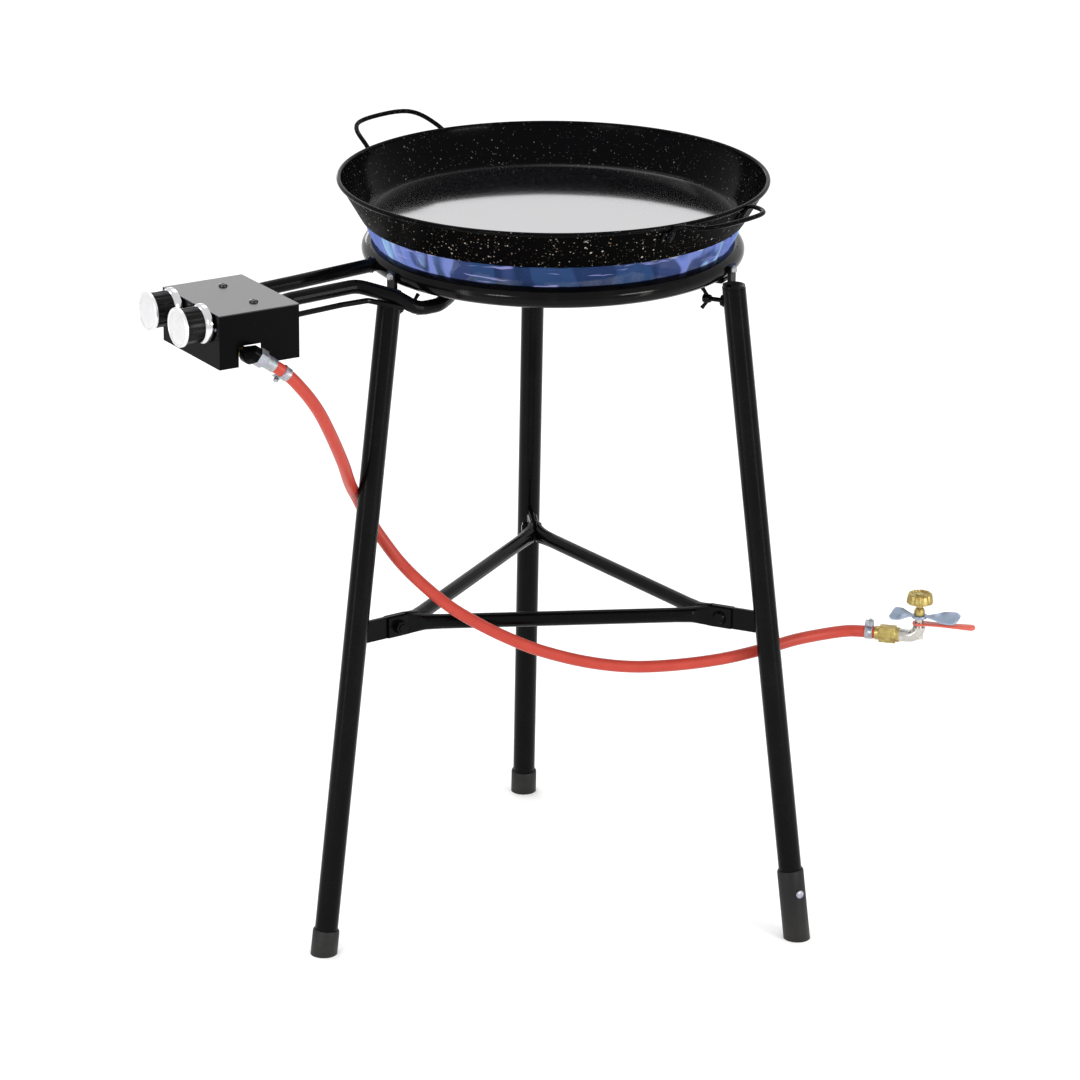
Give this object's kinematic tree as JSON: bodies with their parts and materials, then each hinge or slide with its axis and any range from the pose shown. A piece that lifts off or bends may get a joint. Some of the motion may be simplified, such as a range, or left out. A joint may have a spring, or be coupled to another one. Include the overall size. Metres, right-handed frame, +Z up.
{
  "type": "outdoor gas burner stand with pan",
  "caption": "Outdoor propane burner on a braced three-legged stand, with a two-ring burner, control box, enamelled pan, gas hose and cylinder valve.",
  "frame": {"origin": "on the floor, under the common axis of the two burner rings, with all feet retracted and flat on the floor", "axes": "+Z up along the rings' axis, +Y towards the rear leg, -Y towards the front brace; the control box is at -X -Y"},
  "size_m": [0.8925, 0.5911, 0.843],
  "materials": {
    "stand_paint": "satin black powder coat on the legs, braces, arms and screws",
    "burner_steel": "heat-proof semi-matt black on the rings and what holds them",
    "box_paint": "gloss black paint on the control box",
    "foot_rubber": "plain black rubber",
    "knob_plastic": "black moulded plastic",
    "knob_chrome": "polished skirts and brushed face discs",
    "fitting_steel": "zinc-plated steel",
    "fitting_brass": "turned brass",
    "fitting_nickel": "nickel-plated elbow and stem",
    "hose_rubber": "orange-red gas hose with a paler line",
    "pan_enamel": "black enamel with white specks on steel"
  },
  "bodies": {
    "stand": {"leg_left": "stand_paint", "leg_right": "stand_paint", "leg_rear": "stand_paint", "foot_cap_left": "foot_rubber", "foot_cap_rear": "foot_rubber", "leg_brackets": "stand_paint", "wing_screw_bosses": "stand_paint", "brace_front": "stand_paint", "brace_left": "stand_paint", "brace_right": "stand_paint", "brace_bolts": "stand_paint", "brace_nuts": "stand_paint", "outer_ring": "burner_steel", "inner_ring": "burner_steel", "ring_straps": "burner_steel", "mounting_pegs": "burner_steel", "pan_supports": "burner_steel", "support_bolts": "fitting_steel", "feed_tube_outer": "stand_paint", "feed_tube_inner": "stand_paint", "support_rod": "stand_paint", "box_cover": "box_paint", "box_chassis": "box_paint", "tube_saddle": "box_paint", "cover_screws": "box_paint", "tap_outer": "fitting_brass", "tap_inner": "fitting_brass", "jet_outer": "fitting_brass", "jet_inner": "fitting_brass", "gas_rail": "fitting_brass", "inlet_elbow": "box_paint", "hose_tail": "fitting_steel", "index_pins": "fitting_steel", "gas_hose": "hose_rubber", "hose_clamp_box": "fitting_steel", "hose_clamp_valve": "fitting_steel", "valve_nut": "fitting_brass", "valve_elbow": "fitting_nickel", "valve_stem": "fitting_nickel", "valve_gland": "fitting_brass", "valve_tether": "hose_rubber"},
    "wing_screw_left": {"wing_screw_left": "stand_paint"},
    "wing_screw_right": {"wing_screw_right": "stand_paint"},
    "wing_screw_rear": {"wing_screw_rear": "stand_paint"},
    "knob_outer": {"spindle_outer": "fitting_steel", "skirt_outer": "knob_chrome", "grip_outer": "knob_plastic", "face_disc_outer": "knob_chrome"},
    "knob_inner": {"spindle_inner": "fitting_steel", "skirt_inner": "knob_chrome", "grip_inner": "knob_plastic", "face_disc_inner": "knob_chrome"},
    "handwheel": {"handwheel": "fitting_brass"},
    "wing_nut": {"valve_wing_nut": "fitting_steel"},
    "level_foot": {"levelling_foot": "foot_rubber", "foot_lock_screw": "fitting_steel"},
    "pan": {"pan_body": "pan_enamel", "pan_handle_left": "pan_enamel", "pan_handle_right": "pan_enamel"}
  },
  "joints": [
    {"name": "wing_screw_left_turn", "type": "hinge", "parent": "stand", "child": "wing_screw_left", "pos_m": [-0.18247, -0.10535, 0.711], "axis": [0.866, 0.5, 0], "range_deg": [-1080, 0]},
    {"name": "wing_screw_right_turn", "type": "hinge", "parent": "stand", "child": "wing_screw_right", "pos_m": [0.18247, -0.10535, 0.711], "axis": [-0.866, 0.5, 0], "range_deg": [-1080, 0]},
    {"name": "wing_screw_rear_turn", "type": "hinge", "parent": "stand", "child": "wing_screw_rear", "pos_m": [0, 0.2107, 0.711], "axis": [0, -1, 0], "range_deg": [-1080, 0]},
    {"name": "knob_outer_turn", "type": "hinge", "parent": "stand", "child": "knob_outer", "pos_m": [-0.40716, -0.18716, 0.743], "axis": [-0.8988, -0.4384, 0], "range_deg": [0, 190]},
    {"name": "knob_inner_turn", "type": "hinge", "parent": "stand", "child": "knob_inner", "pos_m": [-0.37823, -0.24648, 0.743], "axis": [-0.8988, -0.4384, 0], "range_deg": [0, 190]},
    {"name": "handwheel_turn", "type": "hinge", "parent": "stand", "child": "handwheel", "pos_m": [0.3891, -0.10842, 0.374], "axis": [0, 0, 1], "range_deg": [0, 720]},
    {"name": "wing_nut_turn", "type": "hinge", "parent": "stand", "child": "wing_nut", "pos_m": [0.3891, -0.10842, 0.353], "axis": [0, 0, 1], "continuous": true},
    {"name": "level_foot_slide", "type": "slide", "parent": "stand", "child": "level_foot", "axis": [0.1055, -0.0609, -0.9925], "range_m": [0, 0.055]},
    {"name": "pan_lift", "type": "slide", "parent": "stand", "child": "pan", "axis": [0, 0, 1], "range_m": [0, 0.12]}
  ]
}
